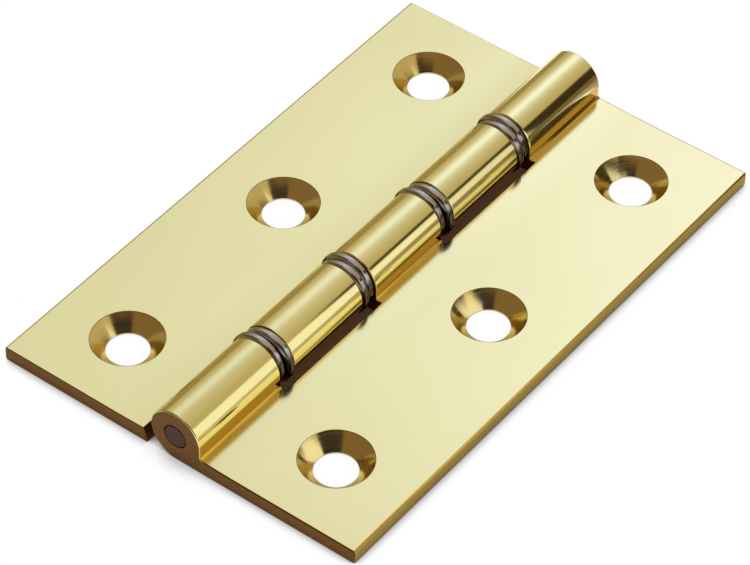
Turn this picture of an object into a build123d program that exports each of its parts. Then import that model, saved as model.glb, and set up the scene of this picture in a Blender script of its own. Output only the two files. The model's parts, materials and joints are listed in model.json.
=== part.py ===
import os
from math import cos, radians, sin, tan

from build123d import *

# Butt hinge with double steel washers, lying open flat on its back.
# X runs across the leaves, Y along the pin, Z up, and the leaf backs lie on z = 0.

# Leaves
leaf_length = 76.0
open_width = 50.0
leaf_thickness = 1.9
edge_round = 0.3
end_round = 0.2

# Foot of each plate, where it thickens in a shallow hollow towards the barrel
foot_reach = 9.0
foot_rise = 0.15

# Barrel: knuckles in line, the end ones a little longer than the rest
knuckle_count = 5
knuckle_diameter = 7.0
end_knuckle_length = 14.3
back_relief = 0.1
back_blend_angle = 225.0
root_fillet = 0.4
knuckle_round = 0.2

# Gap in each leaf that clears the other leaf's knuckle.
# The left leaf's wall leans away from the pin as it rises.
right_notch_distance = 4.17
right_notch_lean = 0.0
left_notch_distance = 4.12
left_notch_lean = 14.0

# Pin, a drive fit in the right leaf and a running fit in the left one
pin_diameter = 3.1
pin_chamfer = 0.15
drive_clearance = 0.01
running_clearance = 0.05

# Washers, two in each joint between knuckles. They sit off centre, against the pin:
# the right leaf's lean to the left and the left leaf's to the right.
washer_diameter = 7.2
washer_thickness = 1.2
washer_round = 0.5
washer_bore_clearance = 0.25
washer_play = 0.06

# Countersunk screw holes, three in a row on each leaf
screw_count = 3
screw_hole_diameter = 5.2
countersink_diameter = 8.8
countersink_angle = 90.0
screw_edge_distance = 10.0
screw_pitch = 28.4

# Sizes that follow from those above
knuckle_radius = knuckle_diameter / 2
pin_radius = pin_diameter / 2
axis_height = knuckle_radius + back_relief
leaf_reach = open_width / 2
half_length = leaf_length / 2
foot_height = leaf_thickness + foot_rise
joint_width = 2 * washer_thickness + washer_play
washer_shift = washer_bore_clearance - running_clearance
joint_count = knuckle_count - 1
inner_count = knuckle_count - 2
inner_length = leaf_length - 2 * end_knuckle_length - joint_count * joint_width
inner_knuckle_length = inner_length / inner_count
cut_margin = knuckle_diameter
same_radius = 1e-6

knuckle_lengths = [end_knuckle_length] + inner_count * [inner_knuckle_length] + [end_knuckle_length]
knuckle_starts = [
    -half_length + sum(knuckle_lengths[:i]) + i * joint_width for i in range(knuckle_count)
]
knuckle_ends = [start + length for start, length in zip(knuckle_starts, knuckle_lengths)]


def across(y):
    """Plane across the pin at y, with its local x along X and y along Z. It faces -Y."""
    return Plane.XZ.offset(-y)


def leaf_section(side):
    """Drawn section of one leaf: a plate that thickens to its foot, and a barrel blended into its back."""
    blend = radians(back_blend_angle)
    blend_offset = back_relief / (1 + sin(blend))
    blend_radius = knuckle_radius + blend_offset
    blend_start = -blend_offset * cos(blend)
    with BuildSketch(Plane.XZ) as section:
        with BuildLine():
            barrel = CenterArc((0, axis_height), knuckle_radius, start_angle=0, arc_size=back_blend_angle)
            back = CenterArc(
                (blend_start, blend_radius),
                blend_radius,
                start_angle=back_blend_angle,
                arc_size=270 - back_blend_angle,
            )
            plate = Polyline(
                back @ 1,
                (leaf_reach, 0),
                (leaf_reach, leaf_thickness),
                (foot_reach, leaf_thickness),
            )
            foot = TangentArc(plate @ 1, (knuckle_radius, foot_height), tangent=(-1, 0))
            Line(foot @ 1, barrel @ 0)
        make_face()
        outer_corners = section.vertices().sort_by(Axis.X)[-2:]
        fillet(outer_corners, edge_round)
        root_corner = section.vertices().sort_by_distance((knuckle_radius, foot_height))[0]
        fillet(root_corner, root_fillet)
        if side < 0:
            mirror(about=Plane.YZ, mode=Mode.REPLACE)
    return section


def notch_section(side):
    """What a notch takes out: all of the barrel, back to a wall that may lean from the pin."""
    distance = right_notch_distance if side > 0 else left_notch_distance
    lean = tan(radians(right_notch_lean if side > 0 else left_notch_lean))
    bottom = -cut_margin
    top = axis_height + knuckle_radius + cut_margin
    outline = [
        (-leaf_reach, bottom),
        (distance + bottom * lean, bottom),
        (distance + top * lean, top),
        (-leaf_reach, top),
    ]
    with BuildSketch(Plane.XZ) as section:
        with BuildLine():
            Polyline(*[(side * x, z) for x, z in outline], close=True)
        make_face()
    return section


def build_leaf(side, owned, clearance):
    """One leaf on the given side of the pin, keeping the knuckles whose numbers it owns."""
    lost = [i for i in range(knuckle_count) if i not in owned]
    with BuildPart() as leaf:
        extrude(leaf_section(side).sketch, amount=half_length, both=True)
        for i in lost:
            start = knuckle_starts[i] - joint_width if i > 0 else -half_length - cut_margin
            end = knuckle_ends[i] + joint_width if i < joint_count else half_length + cut_margin
            cutter = notch_section(side).sketch.moved(Location((0, start, 0)))
            extrude(cutter, amount=start - end, mode=Mode.SUBTRACT)
        end_faces = leaf.faces().filter_by(Axis.Y).group_by(Axis.Y)
        fillet(end_faces[0].edges() + end_faces[-1].edges(), end_round)
        knuckle_rims = leaf.edges().filter_by(GeomType.CIRCLE).filter_by(
            lambda rim: abs(rim.radius - knuckle_radius) < same_radius
        )
        fillet(knuckle_rims, knuckle_round)
        with BuildSketch(across(-half_length)):
            with Locations((0, axis_height)):
                Circle(pin_radius + clearance)
        extrude(amount=-leaf_length, mode=Mode.SUBTRACT)
        with Locations((side * (leaf_reach - screw_edge_distance), 0, leaf_thickness)):
            with GridLocations(0, screw_pitch, 1, screw_count):
                CounterSinkHole(
                    radius=screw_hole_diameter / 2,
                    counter_sink_radius=countersink_diameter / 2,
                    counter_sink_angle=countersink_angle,
                )
    return leaf


def build_washer(start, shift):
    """One rounded washer whose near face lies at start along the pin, set off centre by shift."""
    with BuildPart() as washer:
        with BuildSketch(across(start)):
            with Locations((shift, axis_height)):
                Circle(washer_diameter / 2)
                Circle(pin_radius + washer_bore_clearance, mode=Mode.SUBTRACT)
        extrude(amount=-washer_thickness)
        rims = washer.edges().filter_by(GeomType.CIRCLE).group_by(SortBy.RADIUS)[-1]
        fillet(rims, washer_round)
    return washer


os.makedirs("parts", exist_ok=True)

right_leaf = build_leaf(side=1, owned=(0, 2, 4), clearance=drive_clearance)
right_leaf.part.label = "right_leaf"
export_step(right_leaf.part, "parts/right_leaf.step")

left_leaf = build_leaf(side=-1, owned=(1, 3), clearance=running_clearance)
left_leaf.part.label = "left_leaf"
export_step(left_leaf.part, "parts/left_leaf.step")

with BuildPart() as hinge_pin:
    with BuildSketch(across(-half_length)):
        with Locations((0, axis_height)):
            Circle(pin_radius)
    extrude(amount=-leaf_length)
    chamfer(hinge_pin.edges().filter_by(GeomType.CIRCLE), pin_chamfer)
hinge_pin.part.label = "hinge_pin"
export_step(hinge_pin.part, "parts/hinge_pin.step")

# Each joint has a washer against the knuckle on its near side and one against the knuckle on its far side.
for joint in range(joint_count):
    near_leaf, far_leaf = ("right", "left") if joint % 2 == 0 else ("left", "right")
    places = {
        near_leaf: knuckle_ends[joint],
        far_leaf: knuckle_starts[joint + 1] - washer_thickness,
    }
    for leaf_name, start in places.items():
        washer = build_washer(start, -washer_shift if leaf_name == "right" else washer_shift)
        washer.part.label = f"washer_{joint + 1}_{leaf_name}"
        export_step(washer.part, f"parts/{washer.part.label}.step")
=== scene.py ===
import json
from math import atan2, cos, exp, pi, radians, sin, sqrt, tan

import bmesh
import bpy
from mathutils import Matrix, Vector


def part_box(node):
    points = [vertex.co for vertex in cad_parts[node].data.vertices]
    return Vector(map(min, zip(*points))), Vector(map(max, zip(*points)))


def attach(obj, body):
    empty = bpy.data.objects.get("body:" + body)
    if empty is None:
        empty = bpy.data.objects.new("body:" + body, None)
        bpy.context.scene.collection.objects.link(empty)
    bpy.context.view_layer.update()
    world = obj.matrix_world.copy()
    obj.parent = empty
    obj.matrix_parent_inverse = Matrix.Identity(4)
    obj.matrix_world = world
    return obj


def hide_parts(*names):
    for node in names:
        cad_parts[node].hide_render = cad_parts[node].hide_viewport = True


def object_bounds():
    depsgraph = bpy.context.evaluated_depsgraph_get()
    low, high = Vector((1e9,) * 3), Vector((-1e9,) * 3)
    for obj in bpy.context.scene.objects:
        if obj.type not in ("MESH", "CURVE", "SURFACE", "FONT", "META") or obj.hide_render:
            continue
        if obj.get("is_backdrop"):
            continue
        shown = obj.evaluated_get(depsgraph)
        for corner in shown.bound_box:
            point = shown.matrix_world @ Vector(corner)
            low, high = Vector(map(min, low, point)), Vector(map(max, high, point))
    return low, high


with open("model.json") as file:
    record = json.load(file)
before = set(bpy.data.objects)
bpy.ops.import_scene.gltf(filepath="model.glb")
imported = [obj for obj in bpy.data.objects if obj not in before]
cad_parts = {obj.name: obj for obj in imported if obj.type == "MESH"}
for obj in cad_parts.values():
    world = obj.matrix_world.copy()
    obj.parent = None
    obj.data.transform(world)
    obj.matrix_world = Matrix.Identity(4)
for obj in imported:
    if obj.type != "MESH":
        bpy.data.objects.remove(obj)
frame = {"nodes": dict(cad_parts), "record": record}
cad_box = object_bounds()
record = frame["record"]
washer_nodes = sorted(node for node in frame["nodes"] if node.startswith("washer"))
MM = 0.001

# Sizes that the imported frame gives, in metres
pin_low, pin_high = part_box("hinge_pin")
leaf_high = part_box("right_leaf")[1]
half_length = leaf_high[1]
leaf_reach = leaf_high[0]
pin_radius = pin_high[0]
knuckle_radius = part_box("left_leaf")[1][0]
axis_height = (pin_low[2] + pin_high[2]) / 2
back_relief = axis_height - knuckle_radius
joint_count = len(washer_nodes) // 2

# Sizes of the drawn section and its edges
leaf_thickness = 1.9 * MM
edge_round = 0.3 * MM
end_round = 0.2 * MM
foot_reach = 9.0 * MM
foot_height = 2.05 * MM
root_fillet = 0.4 * MM
back_blend_angle = radians(225)
notch_walls = {1: (4.17 * MM, 0.0), -1: (4.12 * MM, radians(14))}
drive_clearance = 0.01 * MM
running_clearance = 0.05 * MM
countersink_radius = 4.4 * MM
rim_break = 0.06 * MM
land_height = 0.2 * MM

# How far cutters reach along the pin, as a share of half the leaf's length
bore_overrun = 1.1
notch_overrun = 1.2

# How finely curves are drawn, and from which angle an edge is sharp
arc_step = radians(2)
least_arc_steps = 6
hole_steps = 144
washer_steps = 144
bore_steps = 120
pin_steps = 120
end_segments = 4
rim_segments = 2
weld_distance = 1e-8
sliver_width = 0.0005 * MM
sharp_angle = radians(25)
crease_angle = radians(35)

# How squarely a face points where its finish depends on that, and how far the root rises above the pin
facing = 0.95
slanting = 0.3
root_rise = 0.5 * MM

# Sizes of the washers and the pin
washer_round = 0.5 * MM
washer_bore_clearance = 0.25 * MM
pin_chamfer = 0.15 * MM

# Finishes: the middle range of a noise, and on a washer the heights where painted shade lower down ends
# and painted sheen on top is full
noise_low = 0.3
noise_high = 0.7
streak_detail = 3.0
smoothest_share = 0.8
washer_sheen_height = 6.6 * MM
washer_shade_lowest = 0.55 * washer_sheen_height
washer_shade_highest = 0.75 * washer_sheen_height

# Floor, world and cards
floor_height = -0.02 * MM
floor_reach = 3.0
floor_grey = (0.85, 0.85, 0.85)
floor_shade_reach = 6 * MM
floor_shade_tint = (0.055, 0.026, 0.012)
floor_shade_full = 0.3
floor_shade_none = 0.72
horizon_grey = (0.78, 0.78, 0.78)
zenith_grey = (0.88, 0.88, 0.88)
card_white = (1.06, 1.05, 1.0)
card_step = 2.0
panel_step = 1.0

# Camera
camera_target = Vector((0.45, -2.40, 0.0)) * MM
camera_distance = 452.05 * MM
camera_azimuth = radians(36.85)
camera_elevation = radians(44.81)
camera_roll = radians(-0.95)
camera_lens = 187.4
camera_near = 0.01
camera_far = 20.0
sensor_width = 36.0

# The body that each piece rides on
bodies = record["behaviour"]["bodies"]
body_of_node = {node: body for body, held in bodies.items() for node in held}

# Screw holes, from the mounts
screw_mount = next(m for m in record["mounts"] if m["name"] == "right_leaf_near_screws")
screw_radius = screw_mount["dims"]["hole_r_mm"] * MM
screw_reach = screw_mount["pos_m"][0]
screw_pitch = screw_mount["dims"]["spacing_y_mm"] * MM
screw_places = (-screw_pitch, 0.0, screw_pitch)


def knuckle_spans():
    """Near and far end of each knuckle along the pin, from the washers that lie against them."""
    starts = [-half_length]
    ends = []
    for joint in range(1, joint_count + 1):
        near_leaf, far_leaf = ("right", "left") if joint % 2 else ("left", "right")
        ends.append(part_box(f"washer_{joint}_{near_leaf}")[0][1])
        starts.append(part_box(f"washer_{joint}_{far_leaf}")[1][1])
    return list(zip(starts, ends + [half_length]))


# Mesh helpers

def new_object(name, mesh):
    piece = bpy.data.objects.new(name, mesh)
    bpy.context.scene.collection.objects.link(piece)
    return piece


def mesh_from(name, points, faces):
    mesh = bpy.data.meshes.new(name)
    mesh.from_pydata(points, [], faces)
    mesh.update()
    return mesh


def arc(centre, radius, start, end):
    """Points of an arc in the section plane, from one angle to another, ends included."""
    steps = max(least_arc_steps, round(abs(end - start) / arc_step))
    angles = [start + (end - start) * i / steps for i in range(steps + 1)]
    return [(centre[0] + radius * cos(a), centre[1] + radius * sin(a)) for a in angles]


def prism(name, outline, y_from, y_to):
    """Closed outline of (x, z) points, drawn out along the pin."""
    count = len(outline)
    points = [(x, y, z) for y in (y_from, y_to) for x, z in outline]
    sides = [(i, (i + 1) % count, count + (i + 1) % count, count + i) for i in range(count)]
    caps = [tuple(range(count)), tuple(range(2 * count - 1, count - 1, -1))]
    mesh = mesh_from(name, points, sides + caps)
    bm = bmesh.new()
    bm.from_mesh(mesh)
    bmesh.ops.recalc_face_normals(bm, faces=bm.faces)
    bm.to_mesh(mesh)
    bm.free()
    return new_object(name, mesh)


def turned(name, profile, origin, axis, steps):
    """Closed profile of (radius, height) points, turned about an axis through origin."""
    bm = bmesh.new()
    ring = [bm.verts.new((r, 0, h)) for r, h in profile]
    edges = [bm.edges.new((ring[i], ring[(i + 1) % len(ring)])) for i in range(len(ring))]
    bmesh.ops.spin(
        bm,
        geom=ring + edges,
        cent=(0, 0, 0),
        axis=(0, 0, 1),
        angle=2 * pi,
        steps=steps,
        use_merge=True,
    )
    bmesh.ops.remove_doubles(bm, verts=bm.verts, dist=weld_distance)
    bmesh.ops.recalc_face_normals(bm, faces=bm.faces)
    turn = Vector((0, 0, 1)).rotation_difference(Vector(axis)).to_matrix().to_4x4()
    bmesh.ops.transform(bm, matrix=Matrix.Translation(origin) @ turn, verts=bm.verts)
    mesh = bpy.data.meshes.new(name)
    bm.to_mesh(mesh)
    bm.free()
    return new_object(name, mesh)


def cut(piece, cutters):
    """Take the cutters out of the piece, then delete them."""
    for cutter in cutters:
        difference = piece.modifiers.new("cut", "BOOLEAN")
        difference.operation = "DIFFERENCE"
        difference.solver = "EXACT"
        difference.object = cutter
    depsgraph = bpy.context.evaluated_depsgraph_get()
    mesh = bpy.data.meshes.new_from_object(piece.evaluated_get(depsgraph))
    piece.modifiers.clear()
    piece.data = mesh
    for cutter in cutters:
        bpy.data.objects.remove(cutter)


# Leaves

def leaf_outline(side):
    """Drawn section of a leaf: a plate that thickens to its foot, and a barrel blended into its back."""
    blend_offset = back_relief / (1 + sin(back_blend_angle))
    blend_radius = knuckle_radius + blend_offset
    blend_start = -blend_offset * cos(back_blend_angle)
    foot_rise = foot_height - leaf_thickness
    foot_radius = ((foot_reach - knuckle_radius) ** 2 + foot_rise**2) / (2 * foot_rise)
    foot_centre = (foot_reach, leaf_thickness + foot_radius)
    root_reach = knuckle_radius + root_fillet
    root_drop = sqrt((foot_radius - root_fillet) ** 2 - (foot_reach - root_reach) ** 2)
    root_angle = pi + atan2(root_drop, foot_reach - root_reach)
    corner = leaf_reach - edge_round
    points = arc((corner, edge_round), edge_round, -pi / 2, 0)
    points += arc((corner, leaf_thickness - edge_round), edge_round, 0, pi / 2)
    points += arc(foot_centre, foot_radius, 3 * pi / 2, root_angle)
    points += arc((root_reach, foot_centre[1] - root_drop), root_fillet, root_angle, pi)[1:]
    points += arc((0, axis_height), knuckle_radius, 0, back_blend_angle)
    points += arc((blend_start, blend_radius), blend_radius, back_blend_angle, 3 * pi / 2)[1:]
    return [(side * x, z) for x, z in points]


def notch_cutter(side, start, end):
    """All of the barrel between two places on the pin, back to a wall that may lean from the pin."""
    low = -2 * knuckle_radius
    high = 4 * knuckle_radius
    distance, lean = notch_walls[side]
    outline = [
        (-leaf_reach, low),
        (distance + low * tan(lean), low),
        (distance + high * tan(lean), high),
        (-leaf_reach, high),
    ]
    return prism("notch_cutter", [(side * x, z) for x, z in outline], start, end)


def screw_cutter(side, place):
    """A through hole and its countersink, run on past both faces."""
    margin = leaf_thickness
    slope_height = countersink_radius - screw_radius
    profile = [
        (0, -margin),
        (screw_radius, -margin),
        (screw_radius, leaf_thickness - slope_height),
        (countersink_radius + margin, leaf_thickness + margin),
        (0, leaf_thickness + margin),
    ]
    return turned("screw_cutter", profile, (side * screw_reach, place, 0), (0, 0, 1), hole_steps)


def bore_cutter(clearance):
    """The bore for the pin, run on past both ends."""
    radius = pin_radius + clearance
    length = 2 * bore_overrun * half_length
    profile = [(0, 0), (radius, 0), (radius, length), (0, length)]
    return turned("bore_cutter", profile, (0, -length / 2, axis_height), (0, 1, 0), bore_steps)


def sharp_convex_edges(bm):
    """Edges where the surface turns outwards by more than a smooth arc's step."""
    return [e for e in bm.edges if e.is_manifold and e.is_convex and e.calc_face_angle() > sharp_angle]


def hole_distance(side, point):
    """How far a point is from the axis of the nearest screw hole."""
    return min(sqrt((point.x - side * screw_reach) ** 2 + (point.y - y) ** 2) for y in screw_places)


def bore_distance(point):
    """How far a point is from the axis of the pin."""
    return sqrt(point.x**2 + (point.z - axis_height) ** 2)


def round_edges(bm, chosen, width, segments):
    bmesh.ops.bevel(
        bm,
        geom=chosen,
        offset=width,
        offset_type="OFFSET",
        segments=segments,
        profile=0.5,
        affect="EDGES",
        clamp_overlap=True,
    )


def round_leaf(leaf, side, clearance):
    """Break every outward edge: ends and knuckles most, countersinks and bores just off sharp.

    The thin land at the back of each screw hole keeps its edges.
    """
    bore_limit = pin_radius + clearance + rim_break
    hole_limit = countersink_radius + rim_break

    def in_hole(edge):
        return all(hole_distance(side, v.co) < hole_limit for v in edge.verts)

    def in_bore(edge):
        return all(bore_distance(v.co) < bore_limit for v in edge.verts)

    def above_land(edge):
        return max(v.co.z for v in edge.verts) > land_height

    bm = bmesh.new()
    bm.from_mesh(leaf.data)
    outer = [e for e in sharp_convex_edges(bm) if not in_hole(e) and not in_bore(e)]
    round_edges(bm, outer, end_round, end_segments)
    rims = [e for e in sharp_convex_edges(bm) if in_hole(e) and above_land(e)]
    round_edges(bm, rims, rim_break, rim_segments)
    bores = [e for e in sharp_convex_edges(bm) if in_bore(e)]
    round_edges(bm, bores, rim_break, rim_segments)
    bmesh.ops.remove_doubles(bm, verts=bm.verts, dist=sliver_width)
    bmesh.ops.dissolve_degenerate(bm, dist=sliver_width, edges=bm.edges)
    finish_mesh(leaf, bm)


def finish_mesh(piece, bm):
    """Write the mesh back with smooth faces, hard lines at sharp turns, and weighted normals."""
    for face in bm.faces:
        face.smooth = True
    for edge in bm.edges:
        edge.smooth = edge.calc_face_angle(0) < crease_angle
    bm.to_mesh(piece.data)
    bm.free()
    weighted = piece.modifiers.new("weighted_normals", "WEIGHTED_NORMAL")
    weighted.keep_sharp = True


def paint_leaf(leaf, side):
    """Give each face of a leaf its finish."""
    finishes = (brass_buffed, brass_linished, brass_root, sawn_brass_shaded, brass_edge, brass_turned)
    for finish in finishes:
        leaf.data.materials.append(finish)
    for face in leaf.data.polygons:
        face.material_index = finishes.index(finish_of(face, side))


def finish_of(face, side):
    """Buffed barrel, linished plate, root in deeper gold that is painted reflection and shade, sawn ends
    and drawn edge with painted shade in their base, or turned hole.
    """
    centre = face.center
    reach = side * centre.x
    level = abs(face.normal.z) > facing
    plate_start = knuckle_radius + root_fillet
    if hole_distance(side, centre) < countersink_radius - rim_break / 2 and not level:
        return brass_turned
    # Sawn faces, the notch walls among them, carry painted shade in their dark base colour
    if abs(face.normal.y) > facing or bore_distance(centre) < (pin_radius + knuckle_radius) / 2:
        return sawn_brass_shaded
    if reach > plate_start and abs(face.normal.y) > slanting:
        return sawn_brass_shaded
    if reach > knuckle_radius and side * face.normal.x < -slanting and centre.z < foot_height:
        return sawn_brass_shaded
    if side * face.normal.x > facing and reach > leaf_reach - edge_round:
        return brass_edge
    if reach > plate_start and level:
        return brass_linished
    if reach > 0 and leaf_thickness - end_round < centre.z < axis_height + root_rise:
        return brass_root
    return brass_buffed


def build_leaf(body, side, owned, clearance):
    """A leaf from its drawn section: bored, countersunk and notched for the knuckles it doesn't own."""
    spans = knuckle_spans()
    past_end = notch_overrun * half_length
    leaf = prism(f"{body}_leaf_drawn", leaf_outline(side), -half_length, half_length)
    cutters = [bore_cutter(clearance)]
    cutters += [screw_cutter(side, place) for place in screw_places]
    for i in range(len(spans)):
        if i not in owned:
            start = spans[i - 1][1] if i > 0 else -past_end
            end = spans[i + 1][0] if i + 1 < len(spans) else past_end
            cutters.append(notch_cutter(side, start, end))
    cut(leaf, cutters)
    round_leaf(leaf, side, clearance)
    paint_leaf(leaf, side)
    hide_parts(f"{body}_leaf")
    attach(leaf, body)


# Washers and pin

def build_washer(node):
    """A plain washer with a full round on its rim, turned from its box in the frame."""
    low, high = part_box(node)
    thickness = high[1] - low[1]
    radius = (high[2] - low[2]) / 2
    centre = ((low[0] + high[0]) / 2, low[1], (low[2] + high[2]) / 2)
    bore = pin_radius + washer_bore_clearance
    inner = radius - washer_round
    profile = [(bore, 0)]
    profile += arc((inner, washer_round), washer_round, -pi / 2, 0)
    profile += arc((inner, thickness - washer_round), washer_round, 0, pi / 2)
    profile += [(bore, thickness)]
    washer = turned(f"{node}_turned", profile, centre, (0, 1, 0), washer_steps)
    dress_turned(washer, node, washer_steel)


def build_pin():
    """A plain rod with its ends filed flush and just off sharp."""
    length = pin_high[1] - pin_low[1]
    flat = pin_radius - pin_chamfer
    profile = [
        (0, 0),
        (flat, 0),
        (pin_radius, pin_chamfer),
        (pin_radius, length - pin_chamfer),
        (flat, length),
        (0, length),
    ]
    pin = turned("hinge_pin_turned", profile, (0, pin_low[1], axis_height), (0, 1, 0), pin_steps)
    dress_turned(pin, "hinge_pin", pin_steel)


def dress_turned(piece, node, material):
    """Finish a turned piece's mesh and put it in its node's place."""
    bm = bmesh.new()
    bm.from_mesh(piece.data)
    finish_mesh(piece, bm)
    piece.data.materials.append(material)
    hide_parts(node)
    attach(piece, body_of_node[node])


# Materials

def new_shader(name, color, roughness):
    """A metal with its constant values set on the shader's own sockets."""
    material = bpy.data.materials.new(name)
    material.use_nodes = True
    tree = material.node_tree
    metal = tree.nodes["Principled BSDF"]
    metal.inputs["Metallic"].default_value = 1.0
    metal.inputs["Base Color"].default_value = (*color, 1)
    metal.inputs["Roughness"].default_value = roughness
    return material, tree, metal


def streaks(tree, stretch):
    """Noise in millimetres of the part's own frame, stretched along an axis to make lines."""
    coords = tree.nodes.new("ShaderNodeTexCoord")
    mapping = tree.nodes.new("ShaderNodeMapping")
    mapping.inputs["Scale"].default_value = [s / MM for s in stretch]
    noise = tree.nodes.new("ShaderNodeTexNoise")
    noise.inputs["Scale"].default_value = 1.0
    noise.inputs["Detail"].default_value = streak_detail
    tree.links.new(coords.outputs["Object"], mapping.inputs["Vector"])
    tree.links.new(mapping.outputs["Vector"], noise.inputs["Vector"])
    return noise.outputs["Fac"]


def ramp(tree, value, low, high):
    """Colour that runs from low to high as a value goes through its middle range."""
    node = tree.nodes.new("ShaderNodeValToRGB")
    node.color_ramp.elements[0].position = noise_low
    node.color_ramp.elements[1].position = noise_high
    node.color_ramp.elements[0].color = (*low, 1)
    node.color_ramp.elements[1].color = (*high, 1)
    tree.links.new(value, node.inputs["Fac"])
    return node.outputs["Color"]


def span(tree, value, low, high):
    """Number that runs from low to high as a value goes through its middle range."""
    node = tree.nodes.new("ShaderNodeMapRange")
    node.inputs["From Min"].default_value = noise_low
    node.inputs["From Max"].default_value = noise_high
    node.inputs["To Min"].default_value = low
    node.inputs["To Max"].default_value = high
    tree.links.new(value, node.inputs["Value"])
    return node.outputs["Result"]


def bump(tree, metal, height, depth, strength):
    """Tool marks too shallow to model."""
    node = tree.nodes.new("ShaderNodeBump")
    node.inputs["Distance"].default_value = depth
    node.inputs["Strength"].default_value = strength
    tree.links.new(height, node.inputs["Height"])
    tree.links.new(node.outputs["Normal"], metal.inputs["Normal"])


def make_brass_polished(name, low, high, roughest):
    """Lacquered brass, cloudy by a hair and with fine lines along the pin."""
    material, tree, metal = new_shader(name, low, roughest)
    clouds = streaks(tree, stretch=(0.06, 0.04, 0.06))
    lines = streaks(tree, stretch=(6.0, 0.12, 6.0))
    tree.links.new(ramp(tree, clouds, low, high), metal.inputs["Base Color"])
    tree.links.new(span(tree, lines, smoothest_share * roughest, roughest), metal.inputs["Roughness"])
    return material


def make_brass_root():
    """The foot of the barrel, in a deeper, darker gold that is painted reflection of brass in brass and
    painted shade in the crease.
    """
    # Painted light: an orange-gold base darker than the buffed barrel, for the crease where the barrel
    # meets the plate
    material, tree, metal = new_shader("brass_root", color=(0.68, 0.44, 0.07), roughness=0.14)
    clouds = streaks(tree, stretch=(0.5, 0.1, 0.5))
    tint = ramp(tree, clouds, low=(0.64, 0.40, 0.05), high=(0.72, 0.48, 0.09))
    tree.links.new(tint, metal.inputs["Base Color"])
    tree.links.new(span(tree, clouds, low=0.10, high=0.18), metal.inputs["Roughness"])
    return material


def make_sawn_brass_shaded():
    """Ends, notches and bores as the saw and drill left them, with a dark brown base colour that is
    painted shade.
    """
    # Painted shade: a near-black brown base stands in for the dark surroundings these faces mirror
    material, tree, metal = new_shader("sawn_brass_shaded", color=(0.14, 0.058, 0.005), roughness=0.4)
    grain = streaks(tree, stretch=(1.5, 1.5, 6.0))
    tint = ramp(tree, grain, low=(0.11, 0.043, 0.002), high=(0.18, 0.078, 0.009))
    tree.links.new(tint, metal.inputs["Base Color"])
    tree.links.new(span(tree, grain, low=0.35, high=0.5), metal.inputs["Roughness"])
    bump(tree, metal, grain, depth=0.02 * MM, strength=0.4)
    return material


def make_brass_edge():
    """The long outer edge of a plate, with lines from the drawing die, and a dark olive base that is
    painted shade.
    """
    # Painted shade: the dark olive base stands in for the shade this edge mirrors
    material, tree, metal = new_shader("brass_edge", color=(0.27, 0.19, 0.04), roughness=0.3)
    metal.inputs["Specular Tint"].default_value = (1.0, 0.9, 0.7, 1)
    lines = streaks(tree, stretch=(4.0, 0.1, 8.0))
    tint = ramp(tree, lines, low=(0.22, 0.15, 0.02), high=(0.32, 0.23, 0.06))
    tree.links.new(tint, metal.inputs["Base Color"])
    tree.links.new(span(tree, lines, low=0.22, high=0.38), metal.inputs["Roughness"])
    return material


def make_brass_turned():
    """The walls of the screw holes, with rings from the countersink."""
    material, tree, metal = new_shader("brass_turned", color=(0.85, 0.70, 0.31), roughness=0.16)
    metal.inputs["Specular Tint"].default_value = (0.42, 0.34, 0.20, 1)
    rings = streaks(tree, stretch=(0.2, 0.2, 14.0))
    tint = ramp(tree, rings, low=(0.82, 0.67, 0.28), high=(0.88, 0.73, 0.34))
    tree.links.new(tint, metal.inputs["Base Color"])
    tree.links.new(span(tree, rings, low=0.10, high=0.20), metal.inputs["Roughness"])
    bump(tree, metal, rings, depth=0.01 * MM, strength=0.5)
    return material


def make_washer_steel():
    """Plain steel, with a painted sheen on top and painted shade lower down."""
    material, tree, metal = new_shader("washer_steel", color=(0.26, 0.22, 0.20), roughness=0.1)
    clouds = streaks(tree, stretch=(0.8, 0.8, 0.8))
    lines = streaks(tree, stretch=(0.3, 10.0, 0.3))
    coords = tree.nodes.new("ShaderNodeTexCoord")
    split = tree.nodes.new("ShaderNodeSeparateXYZ")
    shade_to_sheen = tree.nodes.new("ShaderNodeMapRange")
    shade_to_sheen.inputs["From Max"].default_value = washer_sheen_height
    tree.links.new(coords.outputs["Object"], split.inputs["Vector"])
    tree.links.new(split.outputs["Z"], shade_to_sheen.inputs["Value"])
    painted_shade_height = span(tree, clouds, washer_shade_lowest, washer_shade_highest)
    tree.links.new(painted_shade_height, shade_to_sheen.inputs["From Min"])
    # Painted light: dark steel low on the washer and pale steel high on it, standing in for shade below
    # and sheen on top
    tint = ramp(tree, shade_to_sheen.outputs["Result"], low=(0.10, 0.08, 0.08), high=(0.46, 0.42, 0.40))
    tree.links.new(tint, metal.inputs["Base Color"])
    tree.links.new(span(tree, lines, low=0.08, high=0.16), metal.inputs["Roughness"])
    return material


def make_pin_steel():
    """Dark steel with file marks across its ends."""
    material, tree, metal = new_shader("pin_steel", color=(0.058, 0.027, 0.015), roughness=0.4)
    scratches = streaks(tree, stretch=(3.0, 3.0, 9.0))
    tint = ramp(tree, scratches, low=(0.040, 0.018, 0.010), high=(0.076, 0.036, 0.022))
    tree.links.new(tint, metal.inputs["Base Color"])
    tree.links.new(span(tree, scratches, low=0.3, high=0.5), metal.inputs["Roughness"])
    return material


# Stage: floor, world and cards

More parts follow.
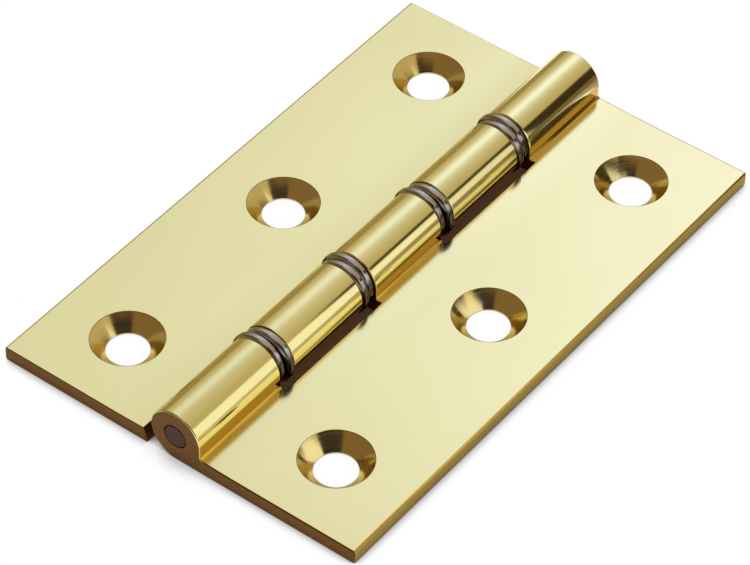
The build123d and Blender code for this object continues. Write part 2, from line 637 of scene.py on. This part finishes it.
def make_floor_white():
    """White to the eye and in reflections, darker where the part stands close over it."""
    material = bpy.data.materials.new("floor_white")
    material.use_nodes = True
    tree = material.node_tree
    tree.nodes.remove(tree.nodes["Principled BSDF"])
    output = tree.nodes["Material Output"]
    diffuse = tree.nodes.new("ShaderNodeBsdfDiffuse")
    diffuse.inputs["Color"].default_value = (*floor_grey, 1)
    shade = tree.nodes.new("ShaderNodeAmbientOcclusion")
    shade.inputs["Distance"].default_value = floor_shade_reach
    lift = tree.nodes.new("ShaderNodeValToRGB")
    lift.color_ramp.elements[0].position = floor_shade_full
    lift.color_ramp.elements[0].color = (*floor_shade_tint, 1)
    lift.color_ramp.elements[1].position = floor_shade_none
    lift.color_ramp.elements[1].color = (1, 1, 1, 1)
    white = tree.nodes.new("ShaderNodeEmission")
    rays = tree.nodes.new("ShaderNodeLightPath")
    seen = tree.nodes.new("ShaderNodeMath")
    seen.operation = "ADD"
    also = tree.nodes.new("ShaderNodeMath")
    also.operation = "ADD"
    also.use_clamp = True
    mix = tree.nodes.new("ShaderNodeMixShader")
    tree.links.new(shade.outputs["AO"], lift.inputs["Fac"])
    tree.links.new(lift.outputs["Color"], white.inputs["Color"])
    tree.links.new(rays.outputs["Is Camera Ray"], seen.inputs[0])
    tree.links.new(rays.outputs["Is Glossy Ray"], seen.inputs[1])
    tree.links.new(seen.outputs["Value"], also.inputs[0])
    tree.links.new(rays.outputs["Is Transmission Ray"], also.inputs[1])
    tree.links.new(also.outputs["Value"], mix.inputs["Fac"])
    tree.links.new(diffuse.outputs["BSDF"], mix.inputs[1])
    tree.links.new(white.outputs["Emission"], mix.inputs[2])
    tree.links.new(mix.outputs["Shader"], output.inputs["Surface"])
    return material


def build_floor():
    corners = ((-1, -1), (1, -1), (1, 1), (-1, 1))
    points = [(x * floor_reach, y * floor_reach, floor_height) for x, y in corners]
    floor = new_object("floor", mesh_from("floor", points, [(0, 1, 2, 3)]))
    floor.data.materials.append(make_floor_white())
    floor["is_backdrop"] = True


def build_world():
    """Pale all round, a little darker towards the horizon."""
    world = bpy.data.worlds.new("studio")
    bpy.context.scene.world = world
    world.use_nodes = True
    tree = world.node_tree
    coords = tree.nodes.new("ShaderNodeTexCoord")
    split = tree.nodes.new("ShaderNodeSeparateXYZ")
    shade = tree.nodes.new("ShaderNodeValToRGB")
    shade.color_ramp.elements[0].color = (*horizon_grey, 1)
    shade.color_ramp.elements[1].color = (*zenith_grey, 1)
    tree.links.new(coords.outputs["Generated"], split.inputs["Vector"])
    tree.links.new(split.outputs["Z"], shade.inputs["Fac"])
    tree.links.new(shade.outputs["Color"], tree.nodes["Background"].inputs["Color"])


def smooth_step(value, width):
    """0 at no distance in from an edge, 1 from the feather's width on."""
    if width <= 0:
        return 1.0
    t = min(1.0, max(0.0, value / width))
    return t * t * (3 - 2 * t)


def rise(value, start, end):
    """0 up to start, 1 from end on, and a smooth slope between."""
    return smooth_step(value - start, end - start)


def fall(value, start, end):
    """1 up to start, 0 from end on, and a smooth slope between."""
    return smooth_step(end - value, end - start)


def card_material(name, radiance):
    """A glow where the card covers, and nothing where it doesn't."""
    material = bpy.data.materials.new(name)
    material.use_nodes = True
    material.cycles.emission_sampling = "NONE"
    tree = material.node_tree
    tree.nodes.remove(tree.nodes["Principled BSDF"])
    cover = tree.nodes.new("ShaderNodeAttribute")
    cover.attribute_name = "cover"
    clear = tree.nodes.new("ShaderNodeBsdfTransparent")
    glow = tree.nodes.new("ShaderNodeEmission")
    glow.inputs["Color"].default_value = (*radiance, 1)
    mix = tree.nodes.new("ShaderNodeMixShader")
    tree.links.new(cover.outputs["Fac"], mix.inputs["Fac"])
    tree.links.new(clear.outputs["BSDF"], mix.inputs[1])
    tree.links.new(glow.outputs["Emission"], mix.inputs[2])
    tree.links.new(mix.outputs["Shader"], tree.nodes["Material Output"].inputs["Surface"])
    return material


def feathered(azimuth, elevation, left=0, right=0, bottom=0, top=0):
    """How much of a card covers at each place, with soft edges as wide as given in degrees."""
    def cover(across, high):
        soft = smooth_step(across - azimuth[0], left) * smooth_step(azimuth[1] - across, right)
        return soft * smooth_step(high - elevation[0], bottom) * smooth_step(elevation[1] - high, top)
    return cover


def glowing(azimuth, elevation, wide, tall, strength):
    """Cover that falls off all round from a middle, as a soft lamp's does."""
    def cover(across, high):
        sideways = (across - azimuth) * cos(radians(high)) / wide
        upwards = (high - elevation) / tall
        return strength * exp(-(sideways**2 + upwards**2) / 2)
    return cover


def build_sheet(name, across_span, high_span, step, place, radiance, cover):
    """A card that only reflections see, as a grid of places whose cover varies."""
    first, last = across_span
    lowest, highest = high_span
    columns = round((last - first) / step)
    rows = round((highest - lowest) / step)
    points = []
    shares = []
    for row in range(rows + 1):
        high = lowest + (highest - lowest) * row / rows
        for column in range(columns + 1):
            across = first + (last - first) * column / columns
            points.append(place(across, high))
            shares.append(cover(across, high))
    width = columns + 1
    faces = [
        (r * width + c, r * width + c + 1, (r + 1) * width + c + 1, (r + 1) * width + c)
        for r in range(rows)
        for c in range(columns)
    ]
    mesh = mesh_from(name, points, faces)
    mesh.attributes.new("cover", "FLOAT", "POINT").data.foreach_set("value", shares)
    card = new_object(name, mesh)
    card.data.materials.append(card_material(name, radiance))
    hide_from_camera(card)


def build_card(name, azimuth, elevation, distance, radiance, cover):
    """A curved card round the part. Azimuth is in degrees from +Y towards +X."""
    def place(across, high):
        flat = distance * cos(radians(high))
        turn = radians(across)
        return (flat * sin(turn), flat * cos(turn), distance * sin(radians(high)))
    build_sheet(name, azimuth, elevation, card_step, place, radiance, cover)


def build_panel(name, reach, along, height, radiance, cover):
    """An upright card beside the part, along the pin. All its sizes are in millimetres."""
    def place(across, high):
        return (reach * MM, across * MM, high * MM)
    build_sheet(name, along, (0, height), panel_step, place, radiance, cover)


def build_cards():
    """The room that the metal mirrors: a warm surround, a soft key behind, pale cards and dark flags."""
    def plain(name, azimuth, elevation, distance, radiance, **edges):
        cover = feathered(azimuth, elevation, **edges)
        build_card(name, azimuth, elevation, distance, radiance, cover)

    plain(
        "surround",
        azimuth=(-180, 180),
        elevation=(0, 90),
        distance=0.70,
        radiance=(0.55, 0.47, 0.29),
    )
    build_card(
        "key_fill",
        azimuth=(-120, 70),
        elevation=(0, 88),
        distance=0.68,
        radiance=(1.10, 1.28, 1.60),
        cover=glowing(azimuth=-32, elevation=46, wide=22, tall=11, strength=0.54),
    )
    build_card(
        "key_softbox",
        azimuth=(-70, 40),
        elevation=(10, 80),
        distance=0.66,
        radiance=(1.14, 1.22, 1.72),
        cover=glowing(azimuth=-20, elevation=42, wide=7.5, tall=7.5, strength=1.0),
    )
    plain(
        "overhead_card",
        azimuth=(-180, 180),
        elevation=(62, 90),
        distance=0.64,
        radiance=(0.72, 0.69, 0.56),
        bottom=12,
    )
    plain(
        "left_flag",
        azimuth=(-150, -20),
        elevation=(0, 22),
        distance=0.62,
        radiance=(0.33, 0.27, 0.14),
        left=20,
        right=20,
        top=14,
    )
    plain(
        "front_flag",
        azimuth=(86, 287),
        elevation=(6, 74),
        distance=0.60,
        radiance=(0.22, 0.14, 0.065),
        left=6,
        right=14,
        bottom=6,
        top=10,
    )
    plain(
        "camera_shade",
        azimuth=(84, 172),
        elevation=(22, 62),
        distance=0.58,
        radiance=(0.03, 0.025, 0.025),
        left=4,
        right=16,
        bottom=10,
        top=10,
    )
    plain(
        "white_card",
        azimuth=(60, 88),
        elevation=(0, 44),
        distance=0.50,
        radiance=card_white,
        left=6,
        top=6,
    )


def build_panels():
    """What the barrel's lower side mirrors: a white panel, lower at its far end, and a dark one past it.

    Places along the pin and heights are in millimetres.
    """
    near_top = 35
    far_drop = 6.5
    far_fade = 0.15
    foot_fade = 0.4
    top_blur = 5

    def white_cover(along, high):
        top = near_top - far_drop * rise(along, 14, 26)
        strength = 1 - far_fade * rise(along, 34, 44)
        foot = 1 - foot_fade * rise(along, 20, 28) * (1 - rise(high, 0, 15))
        sides = rise(along, -14, -11) * fall(along, 55.5, 58.5)
        return foot * strength * sides * fall(high, top - top_blur, top + top_blur)

    def dark_cover(along, high):
        return rise(along, 16, 26) * fall(high, 36, 50)

    build_panel(
        "white_panel",
        reach=45,
        along=(-14, 61),
        height=41,
        radiance=card_white,
        cover=white_cover,
    )
    build_panel(
        "dark_panel",
        reach=45.6,
        along=(16, 130),
        height=50,
        radiance=(0.045, 0.03, 0.015),
        cover=dark_cover,
    )


def build_kicker(name, start, end, radiance, foot=1.0):
    """A low flag beside the part that hides the bright floor from it. Ends are x, y, height, cover."""
    points = []
    shares = []
    for x, y, height, share in (start, end):
        points += [(x * MM, y * MM, 0.0), (x * MM, y * MM, height * MM)]
        shares += [foot * share, share]
    kicker = new_object(name, mesh_from(name, points, [(0, 2, 3, 1)]))
    kicker.data.attributes.new("cover", "FLOAT", "POINT").data.foreach_set("value", shares)
    kicker.data.materials.append(card_material(name, radiance))
    hide_from_camera(kicker)


def build_kickers():
    """Low flags along both sides and past the far end."""
    build_kicker(
        "left_kicker",
        start=(-29, -90, 7, 1.0),
        end=(-29, 150, 7, 1.0),
        radiance=(0.36, 0.29, 0.13),
    )
    build_kicker(
        "right_kicker",
        start=(30, -50, 3.4, 0.3),
        end=(30, 60, 8.0, 1.0),
        radiance=(0.22, 0.155, 0.055),
    )
    build_kicker(
        "far_kicker",
        start=(3, 42, 5, 1.0),
        end=(32, 42, 5, 1.0),
        radiance=(0.16, 0.12, 0.08),
        foot=0.62,
    )


def hide_from_camera(card):
    """Only reflections see a card."""
    card.visible_camera = False
    card.visible_diffuse = False
    card.visible_transmission = False
    card.visible_shadow = False
    card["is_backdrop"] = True


# Camera

def build_camera():
    """Camera at the photograph's place: its axis meets the floor near the middle of the pin."""
    back = Vector((
        sin(camera_azimuth) * cos(camera_elevation),
        -cos(camera_azimuth) * cos(camera_elevation),
        sin(camera_elevation),
    ))
    level_right = Vector((0, 0, 1)).cross(back).normalized()
    level_up = back.cross(level_right)
    up = level_up * cos(camera_roll) + level_right * sin(camera_roll)
    right_hand = up.cross(back)
    place = camera_target + back * camera_distance
    data = bpy.data.cameras.new("camera")
    data.sensor_fit = "HORIZONTAL"
    data.sensor_width = sensor_width
    data.lens = camera_lens
    data.clip_start = camera_near
    data.clip_end = camera_far
    camera = bpy.data.objects.new("camera", data)
    bpy.context.scene.collection.objects.link(camera)
    turn = Matrix((right_hand, up, back)).transposed().to_4x4()
    camera.matrix_world = Matrix.Translation(place) @ turn
    bpy.context.scene.camera = camera


# The finishes, the hinge and the stage

brass_buffed = make_brass_polished(
    "brass_buffed", low=(0.86, 0.76, 0.35), high=(0.89, 0.79, 0.37), roughest=0.09
)
brass_linished = make_brass_polished(
    "brass_linished", low=(0.865, 0.775, 0.38), high=(0.895, 0.805, 0.40), roughest=0.16
)
brass_root = make_brass_root()
sawn_brass_shaded = make_sawn_brass_shaded()
brass_edge = make_brass_edge()
brass_turned = make_brass_turned()
washer_steel = make_washer_steel()
pin_steel = make_pin_steel()

build_leaf("right", side=1, owned=(0, 2, 4), clearance=drive_clearance)
build_leaf("left", side=-1, owned=(1, 3), clearance=running_clearance)
build_pin()
for washer_node in washer_nodes:
    build_washer(washer_node)

build_floor()
build_world()
build_cards()
build_panels()
build_kickers()
build_camera()
bpy.context.scene.view_settings.view_transform = "Standard"

visual_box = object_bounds()
boxes = {"cad": cad_box, "visual": visual_box}
{name: [list(corner) for corner in box] for name, box in boxes.items()}
